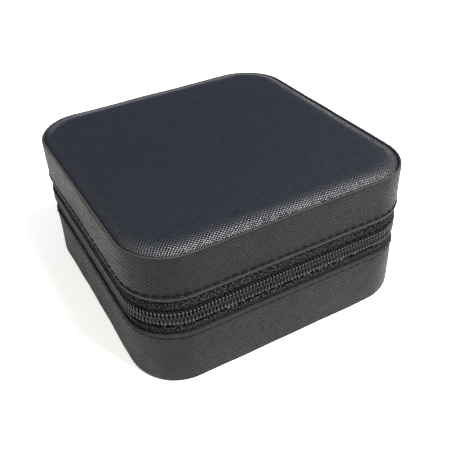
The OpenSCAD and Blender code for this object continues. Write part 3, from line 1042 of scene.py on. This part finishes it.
rolls_low, rolls_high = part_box("ring_rolls")
roll_count = 7
roll_pitch = 2 * (half - room_inset) / roll_count
roll_radius = (roll_pitch - 0.55 * mm) / 2
rolls_mid = (rolls_low.x + rolls_high.x) / 2
roll_length = rolls_high.x - rolls_low.x
roll_axis = rolls_high.z - roll_radius
stretch = (roll_axis - rolls_low.z) / roll_radius
for i in range(roll_count):
    y = (i - (roll_count - 1) / 2) * roll_pitch
    let_go()
    bpy.ops.mesh.primitive_cylinder_add(
        vertices=32, radius=roll_radius, depth=roll_length - 4.4 * mm,
        rotation=(0, math.pi / 2, 0), location=(rolls_mid, y, roll_axis))
    roll = settle(named(bpy.context.object, f"ring_roll_{i + 1}"))
    edit(roll)
    pick(roll, "EDGE", lambda e: e.calc_length() > 20 * mm)
    bpy.ops.mesh.subdivide(number_cuts=22)
    pick(roll, "FACE", lambda f: abs(f.normal.x) > 0.9)
    for width, rise in ((0.35, 1.0), (0.8, 0.7), (1.4, 0.35), (1.5, 0.12), (1.2, -0.15)):
        bpy.ops.mesh.inset(thickness=width * mm, depth=rise * mm, use_individual=True)
    settle(roll)
    for vertex in roll.data.vertices:
        drop = roll_axis - vertex.co.z
        if drop > 0:
            vertex.co.z = roll_axis - drop * stretch
            side = (vertex.co.y - y) / roll_radius
            vertex.co.y = y + roll_radius * math.copysign(abs(side) ** 0.8, side)
            vertex.co.z = max(vertex.co.z, rolls_low.z + 0.05 * mm)
        if drop < 0:
            at = Vector((vertex.co.x / (2.6 * mm), y / mm, vertex.co.z / (7 * mm)))
            edge = max(0, abs(vertex.co.x - rolls_mid) / (roll_length / 2) - 0.55) / 0.45
            vertex.co.z += noise.noise(at) * (0.10 + 0.35 * edge) * mm
    keep_within(roll, room_inset + 0.15 * mm)
    smooth_out(roll)
    finish_velvet(roll, "base", "ring_rolls", 70)
print(roll_count, "rolls,", round(2 * roll_radius / mm, 1), "mm thick")

# %% [markdown]
# ## Dividers
# A divider is a stiff board in a velvet sleeve. It has soft edges all round, so a block at
# its size is cut into a grid, and only its real edges are bevelled. The two short ones
# stand loose in the tray and lift out.

# %% Dividers
def gridded_block(lo, hi, cuts):
    """A block between two corners, cut into a grid and left in edit mode."""
    let_go()
    lo, hi = Vector(lo), Vector(hi)
    bpy.ops.mesh.primitive_cube_add(size=1, location=(lo + hi) / 2, scale=hi - lo)
    block = settle(bpy.context.object)
    edit(block)
    bpy.ops.mesh.subdivide(number_cuts=cuts)
    return block


for node, body in (("centre_divider", "base"), ("front_divider", "front_divider"),
                   ("rear_divider", "rear_divider")):
    sleeve = named(gridded_block(*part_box(node), cuts=14), node + "_velvet")
    round_edges(sleeve, 0.75 * mm)
    settle_outward(sleeve, weld=0.002 * mm)
    undulate(sleeve, 11 * mm, 0.09 * mm, 2.2)
    finish_velvet(sleeve, body, node)

# %% [markdown]
# ## The gathered pocket
# A cloth pocket is sewn under the lid along its back and sides, and elastic gathers its
# mouth. The sheet is a grid, drawn into ripples that are deep at the mouth and die out
# towards the back, and it bellies where things would lie in it. The cloth is cut wider than
# the pocket, which is where the ripples get their length from.

# %% Gathered pocket
def grid_over(name, lo, hi, z, across, deep):
    """A flat grid over the plan of a box in the middle of the case, at a height."""
    let_go()
    bpy.ops.mesh.primitive_grid_add(x_subdivisions=across, y_subdivisions=deep, size=1,
                                    location=(0, (lo.y + hi.y) / 2, z))
    grid = named(bpy.context.object, name)
    grid.scale = (hi.x - lo.x, hi.y - lo.y, 1)
    return settle(grid)


pocket_low, pocket_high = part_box("gathered_pocket")
pocket = grid_over("gathered_pocket_cloth", pocket_low, pocket_high, pocket_low.z + 0.9 * mm,
                   260, 56)
roof = pocket_high.z - 0.25 * mm
for vertex in pocket.data.vertices:
    x, y = vertex.co.x, vertex.co.y
    deep = (y - pocket_low.y) / (pocket_high.y - pocket_low.y)
    wide = abs(x) / pocket_high.x
    fade = max(0.0, 1 - deep / 0.95) ** 0.9
    wander = noise.noise(Vector((x / (14 * mm), y / (30 * mm), 1.5))) * 2.6
    ripple = math.sin(x / (1.05 * mm) + wander * 1.4)
    ripple += 0.45 * math.sin(x / (0.62 * mm) + wander * 3)
    sag = (1 - wide ** 6) * (1 - deep ** 7)
    belly = 1.5 + 0.25 * math.sin(math.pi * deep)
    vertex.co.z = roof + (ripple * 0.62 * fade - belly) * sag * mm
    vertex.co.z = max(vertex.co.z, pocket_low.z - 0.5 * mm)
keep_within(pocket, room_inset + 0.75 * mm)
flip(pocket)
cloth_area = sum(face.area for face in pocket.data.polygons)
apply(pocket, "SOLIDIFY", thickness=0.3 * mm, offset=0)
smooth(dress(pocket, velvet), 70)
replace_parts(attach(pocket, "lid"), "gathered_pocket")
print("pocket cloth:", round(cloth_area * 1e4, 1), "square cm")

# %% [markdown]
# The elastic is a ribbed band at the pocket's mouth. Pulled in by its own rubber, it has
# short even puckers across it.

# %% Elastic
elastic_card = Recipe("elastic", (0.02, 0.02, 0.024), 0.8, specular=0.25)
ribs = elastic_card.node("TexWave", elastic_card.place(), bands_direction="Y", Scale=420)
elastic_tone = elastic_card.tint(ribs, (0.006, 0.006, 0.008), (0.024, 0.024, 0.028))
elastic = elastic_card.finish(elastic_tone, None, elastic_card.bump(ribs, 0.08 * mm))
band_low, band_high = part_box("pocket_elastic")
band = grid_over("pocket_elastic_band", band_low, band_high, (band_low.z + band_high.z) / 2,
                 300, 8)
for vertex in band.data.vertices:
    across = (vertex.co.y - band_low.y) / (band_high.y - band_low.y) * 2 - 1
    ends = max(0.0, 1 - (abs(vertex.co.x) / band_high.x) ** 20)
    pucker = 0.26 * math.sin(vertex.co.x / (0.5 * mm)) + 0.10 * across ** 2
    vertex.co.z += pucker * mm * ends
flip(band)
apply(band, "SOLIDIFY", thickness=0.55 * mm, offset=0)
smooth(dress(band, elastic), 70)
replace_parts(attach(band, "lid"), "pocket_elastic")
print("elastic:", len(band.data.polygons), "faces")

# %% [markdown]
# ## Necklace tabs
# Three leather tabs hold chains under the lid. Each is sewn to a strap at one end and
# closes with a press stud at the other. The leather has a fine pebble here, no lattice. A
# tab starts as a plane. Its tip is rounded with a vertex bevel, it is extruded to its
# thickness, and its rims are bevelled.

# %% Strap and tabs
trim_card = Recipe("trim_leather", (0.008, 0.008, 0.009), 0.45, specular=0.3)
pebble = trim_card.node("TexVoronoi", trim_card.place(), Scale=1500)
creased = trim_card.noise(trim_card.place(), 260, 4)
pebble_bump = trim_card.bump(pebble, 0.05 * mm, 0.8, trim_card.bump(creased, 0.10 * mm, 0.5))
trim_tone = trim_card.tint(creased, (0.005, 0.005, 0.0055), (0.015, 0.0145, 0.014))
trim_leather = trim_card.finish(trim_tone, trim_card.spread(creased, 0.3, 0.7, 0.38, 0.55),
                                pebble_bump)


def leather_slip(name, lo, hi, round_tip, edge):
    """A slip of leather between two corners, with a softly bevelled edge."""
    let_go()
    bpy.ops.mesh.primitive_plane_add(size=1, location=((lo.x + hi.x) / 2, (lo.y + hi.y) / 2, lo.z))
    slip = named(bpy.context.object, name)
    slip.scale = (hi.x - lo.x, hi.y - lo.y, 1)
    settle(slip)
    edit(slip)
    if round_tip:
        pick(slip, "VERT", lambda v: v.co.y > hi.y - 0.01 * mm)
        bpy.ops.mesh.bevel(affect="VERTICES", offset=(hi.x - lo.x) / 2 - 0.02 * mm, segments=10)
    pick(slip, "VERT", lambda v: v.co.y < lo.y + 0.01 * mm)
    bpy.ops.mesh.bevel(affect="VERTICES", offset=1.2 * mm, segments=4)
    pick(slip, "FACE", lambda f: True)
    pull((0, 0, hi.z - lo.z))
    edit(settle_outward(slip))
    pick(slip, "EDGE", lambda e: abs(e.verts[0].co.z - e.verts[1].co.z) < 0.01 * mm
         and e.calc_face_angle(0) > 1)
    bpy.ops.mesh.bevel(offset=edge, segments=3, affect="EDGES")
    return smooth(dress(settle_outward(slip), trim_leather), 35)


strap_low, strap_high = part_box("necklace_strap")
strap = leather_slip("necklace_strap_leather", strap_low, strap_high, False, 0.22 * mm)
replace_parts(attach(strap, "lid"), "necklace_strap")
tab_low, tab_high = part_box("middle_tab")
tab_pitch = low("right_tab").x - tab_low.x
tab_radius = (tab_high.x - tab_low.x) / 2
bow = tab_radius - 1.3 * mm
tip_y = tab_high.y - tab_radius
run = tip_y - tab_low.y - 1.5 * mm
for i, side in enumerate(("left", "middle", "right")):
    shift = Vector(((i - 1) * tab_pitch, 0, 0))
    tab = leather_slip(side + "_tab_leather", tab_low + shift, tab_high + shift, True, 0.25 * mm)
    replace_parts(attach(tab, side + "_tab"), side + "_tab")
    spots = []
    for j in range(8):
        for way in (-1, 1):
            spots.append((way * bow, tip_y - run * (j + 0.5) / 8, math.pi / 2))
    for j in range(6):
        angle = math.pi * (j + 0.5) / 6
        spots.append((bow * math.cos(angle), tip_y + bow * math.sin(angle), angle + math.pi / 2))
    lie_down = Matrix.Rotation(-math.pi / 2, 4, "X") @ Matrix.Scale(0.72, 4)
    places = [Matrix.Translation((shift.x + x, y, tab_low.z + 0.12 * mm))
              @ Matrix.Rotation(turn, 4, "Z") @ lie_down for x, y, turn in spots]
    seam = laid_along(side + "_tab_stitches", stitch_model(1.72 * mm), places)
    dress(seam, thread)
    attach(seam, side + "_tab")
print("tabs:", tab_pitch / mm, "mm apart")

# %% [markdown]
# ## Press studs
# A stud's cap is pressed from sheet metal: a flat crown with a rolled rim. Its section is
# traced from the middle outward and turned with the spin tool, as on a lathe. The socket on
# the lid's lining is a small ring of the same metal.

# %% Studs
metal_card = Recipe("stud_metal", (0.10, 0.10, 0.105), 0.26, metallic=1.0)
rub = metal_card.noise(metal_card.mapped(metal_card.place(), (1, 1, 0.15)), 1400, 4, 0.7)
worn_edge = metal_card.node("NewGeometry").outputs["Pointiness"]
metal_tone = metal_card.tint(metal_card.spread(worn_edge, 0.52, 0.6), (0.085, 0.085, 0.09),
                             (0.30, 0.29, 0.28))
dark_metal = metal_card.finish(metal_tone, metal_card.spread(rub, 0.3, 0.7, 0.20, 0.36),
                               metal_card.bump(rub, 0.008 * mm))


def turned(name, centre, section):
    """A turned piece from (radius, height) points that start and end on its axis."""
    line = [centre + Vector((r, 0, z)) * mm for r, z in section]
    piece = trace(name, line, closed=False)
    bpy.ops.mesh.spin(steps=32, angle=2 * math.pi, center=centre, axis=(0, 0, 1))
    settle_outward(piece, weld=0.002 * mm)
    return smooth(dress(piece, dark_metal), 45)


cap_low, cap_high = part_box("middle_stud_cap")
cap_section = [(0, 0.10), (1.6, 0.06), (2.5, 0.16), (2.9, 0.30), (3.15, 0.14), (3.5, 0.02),
               (3.8, 0.16), (3.98, 0.5), (4.0, 0.85), (3.9, 1.15), (3.6, 1.2), (0, 1.2)]
socket_low, socket_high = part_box("stud_sockets")
socket_depth = (socket_high.z - socket_low.z) / mm
socket_section = [(0, socket_depth), (2.6, socket_depth), (2.95, socket_depth - 0.15),
                  (3.0, 0.35), (2.8, 0.08), (2.3, 0.0), (1.9, 0.12), (1.6, 0.4), (1.5, 0.55),
                  (0, 0.55)]
sockets = []
for i, side in enumerate(("left", "middle", "right")):
    centre = (cap_low + cap_high) / 2
    centre = Vector((centre.x + (i - 1) * tab_pitch, centre.y, cap_low.z))
    cap = turned(side + "_stud_cap_domed", centre, cap_section)
    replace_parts(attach(cap, side + "_tab"), side + "_stud_cap")
    sockets.append(turned(side + "_stud_socket", Vector((*centre.xy, socket_low.z)),
                          socket_section))
for socket in sockets:
    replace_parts(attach(socket, "lid"), "stud_sockets")
print("studs:", round((cap_high.x - cap_low.x) / mm, 1), "mm across")

# %% [markdown]
# ## Slider and pull
# The slider is die cast: two wings joined by a web, wide at the nose and narrow at the tail,
# with two ears that hold the pull's pin. The pull is a flat leaf with a ring at its end. Each
# is built from shaped blocks, joined, and given soft cast edges.

# %% Slider and pull
def cast_block(lo, hi, edge, taper=1.0, segments=3):
    """A block whose far end is narrower in height, with rounded edges."""
    block = settle(gridded_block(lo, hi, cuts=3))
    middle, span = (lo[2] + hi[2]) / 2, hi[1] - lo[1]
    for vertex in block.data.vertices:
        along = max(0.0, (vertex.co.y - lo[1]) / span)
        vertex.co.z = middle + (vertex.co.z - middle) * (1 + (taper - 1) * along ** 1.5)
    edit(block)
    round_edges(block, edge, segments)
    return settle_outward(block)


def joined(name, blocks):
    let_go()
    for block in blocks:
        block.select_set(True)
    bpy.context.view_layer.objects.active = blocks[0]
    bpy.ops.object.join()
    return smooth(dress(named(bpy.context.object, name), dark_metal), 40)


slider_low, slider_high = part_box("zip_slider")
slider_mid = (slider_low.y + slider_high.y) / 2
wing_face = half + 0.15 * mm
wing_back = wing_face + 1.2 * mm
ear = 1.4 * mm
pin_x = wing_back + 0.85 * mm
nose, tail = slider_low.y, slider_high.y
wing = cast_block((wing_face, nose, slider_low.z), (wing_back, tail, slider_high.z),
                  0.35 * mm, 0.72)
inner_wing = cast_block((slider_low.x, nose, slider_low.z + mm),
                        (slider_low.x + 0.8 * mm, tail, slider_high.z - mm), 0.25 * mm, 0.72)
web = cast_block((slider_low.x + 0.3 * mm, nose + 0.05 * mm, part_z - 0.1 * mm),
                 (wing_back - 0.3 * mm, nose + 3 * mm, part_z + 0.1 * mm), 0.03 * mm, 1, 1)
ears = [cast_block((wing_back - 0.25 * mm, slider_mid - 2.3 * mm, part_z + way * ear - 0.4 * mm),
                   (slider_high.x, slider_mid + 2.3 * mm, part_z + way * ear + 0.4 * mm), 0.22 * mm)
        for way in (-1, 1)]
slider = joined("zip_slider_cast", [wing, inner_wing, web, *ears])
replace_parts(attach(slider, "slider"), "zip_slider")

pull_low, pull_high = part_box("zip_pull")
ring_radius = (pull_high.z - pull_low.z) / 2
ring_y = pull_high.y - ring_radius
leaf_x = (pin_x - 0.6 * mm, pin_x + 0.6 * mm)
let_go()
bpy.ops.mesh.primitive_cylinder_add(vertices=20, radius=0.58 * mm, depth=2 * ear + 1.2 * mm,
                                    location=(pin_x, slider_mid, part_z))
pin = settle(bpy.context.object)
edit(pin)
round_edges(pin, 0.15 * mm, 2)
settle(pin)
neck = cast_block((leaf_x[0], slider_mid - 0.5 * mm, part_z - 0.82 * mm),
                  (leaf_x[1], slider_mid + 3 * mm, part_z + 0.82 * mm), 0.3 * mm)
leaf = cast_block((leaf_x[0] + 0.1 * mm, slider_mid + 2.4 * mm, part_z - 2.4 * mm),
                  (leaf_x[1] - 0.1 * mm, ring_y - ring_radius * 0.55, part_z + 2.4 * mm),
                  0.38 * mm, 0.72)
let_go()
bpy.ops.mesh.primitive_torus_add(major_radius=ring_radius - 0.75 * mm, minor_radius=0.74 * mm,
                                 major_segments=40, minor_segments=12,
                                 rotation=(0, math.pi / 2, 0), location=(pin_x, ring_y, part_z))
ring = settle(bpy.context.object)
edit(ring)
bpy.ops.transform.resize(value=(0.8, 1, 1), center_override=(pin_x, ring_y, part_z))
settle(ring)
puller = joined("zip_pull_cast", [neck, pin, leaf, ring])
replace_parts(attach(puller, "pull"), "zip_pull")
print("slider and pull:", len(slider.data.polygons), "and", len(puller.data.polygons), "faces")

# %% [markdown]
# ## Floor and light
# A pale floor runs off in all directions, bright enough to read as white. A window on the
# right front draws the soft streak along the rolled front edge, a wide light from the left
# lifts that side, and a pale world fills in the rest.

# %% Floor, lights and world
let_go()
bpy.ops.mesh.primitive_plane_add(size=80, location=(0, 0, 0))
floor = named(bpy.context.object, "floor")
floor_card = Recipe("floor", (0.93, 0.925, 0.915), 0.85, specular=0.1)
dress(floor, floor_card.finish(Emission_Color=(1.0, 0.99, 0.97, 1), Emission_Strength=0.46))


def softbox(name, azimuth, elevation, distance, size, power, colour):
    lamp_data = bpy.data.lights.new(name, "AREA")
    lamp_data.shape = "RECTANGLE"
    lamp_data.size, lamp_data.size_y = size
    lamp_data.energy = power
    lamp_data.color = colour
    lamp = bpy.data.objects.new(name, lamp_data)
    lamp.visible_camera = False
    way = direction(azimuth, elevation)
    aimed = way.to_track_quat("Z", "Y").to_matrix().to_4x4()
    lamp.matrix_world = Matrix.Translation(way * distance) @ aimed
    bpy.context.collection.objects.link(lamp)


softbox("window", 31, 55, 1.2, (0.30, 0.40), 44, (1.0, 0.99, 0.975))
softbox("left_wall", -95, 38, 1.7, (1.5, 1.2), 9, (1.0, 0.975, 0.93))
world = bpy.data.worlds.new("studio")
bpy.context.scene.world = world
world.use_nodes = True
sky = world.node_tree
toward = sky.nodes.new("ShaderNodeVectorMath")
toward.operation = "DOT_PRODUCT"
toward.inputs[1].default_value = (0.3, 0.95, 0.0)
sky.links.new(sky.nodes.new("ShaderNodeTexCoord").outputs["Generated"], toward.inputs[0])
fall = sky.nodes.new("ShaderNodeMapRange")
fall.interpolation_type = "SMOOTHSTEP"
fall.inputs["From Min"].default_value, fall.inputs["From Max"].default_value = -0.3, 0.6
sky.links.new(toward.outputs["Value"], fall.inputs["Value"])
shade = sky.nodes.new("ShaderNodeMix")
shade.data_type = "RGBA"
shade.inputs[6].default_value = (1.08, 1.05, 0.98, 1)
shade.inputs[7].default_value = (0.14, 0.18, 0.30, 1)
sky.links.new(fall.outputs["Result"], shade.inputs["Factor"])
sky.links.new(shade.outputs[2], sky.nodes["Background"].inputs["Color"])
sky.nodes["Background"].inputs["Strength"].default_value = 0.70
bpy.context.scene.view_settings.view_transform = "Standard"
